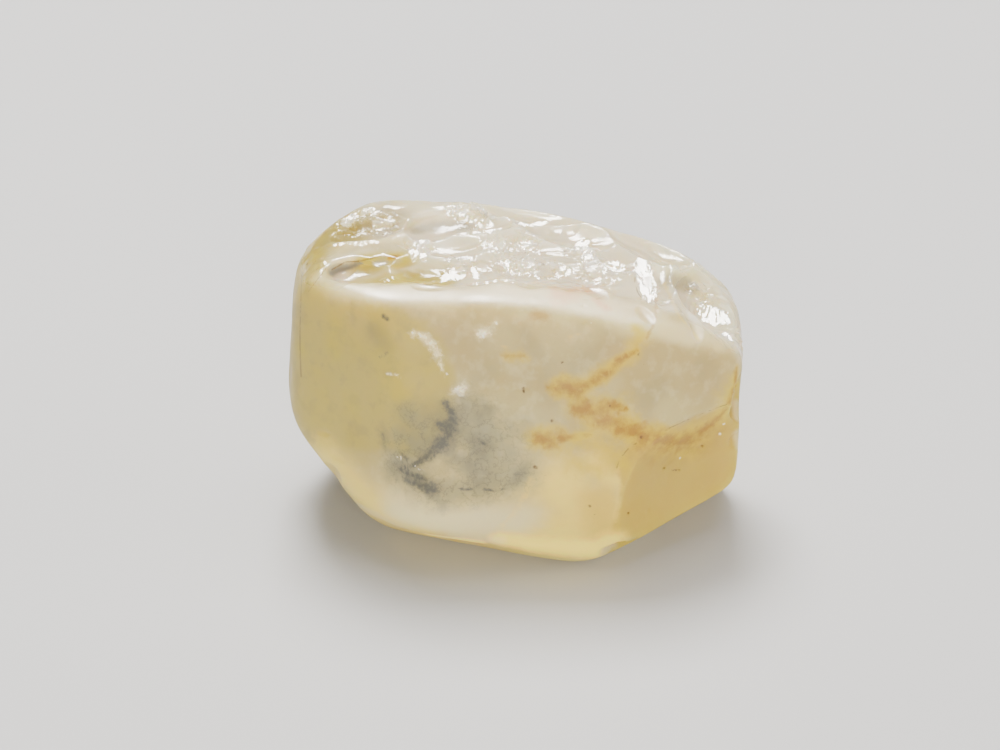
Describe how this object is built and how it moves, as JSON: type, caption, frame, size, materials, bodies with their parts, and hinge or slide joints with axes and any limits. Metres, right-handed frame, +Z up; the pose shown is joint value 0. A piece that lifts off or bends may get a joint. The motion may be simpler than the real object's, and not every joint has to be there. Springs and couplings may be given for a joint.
{
  "type": "raw chrysoberyl",
  "caption": "Raw chrysoberyl: a worn, blocky, milky straw-yellow crystal with a chipped glassy crown and rusty stains, lying on its flat underside.",
  "frame": {"origin": "on the resting surface, under the middle of the stone", "axes": "+X along the stone's length, to its right as pictured; +Y to its back; +Z up"},
  "size_m": [0.012, 0.0082, 0.0079],
  "materials": {
    "stone": "milky and translucent, waxy on the worn faces and glassy on the chipped crown"
  },
  "bodies": {
    "root": {"chrysoberyl": "stone"}
  },
  "joints": []
}
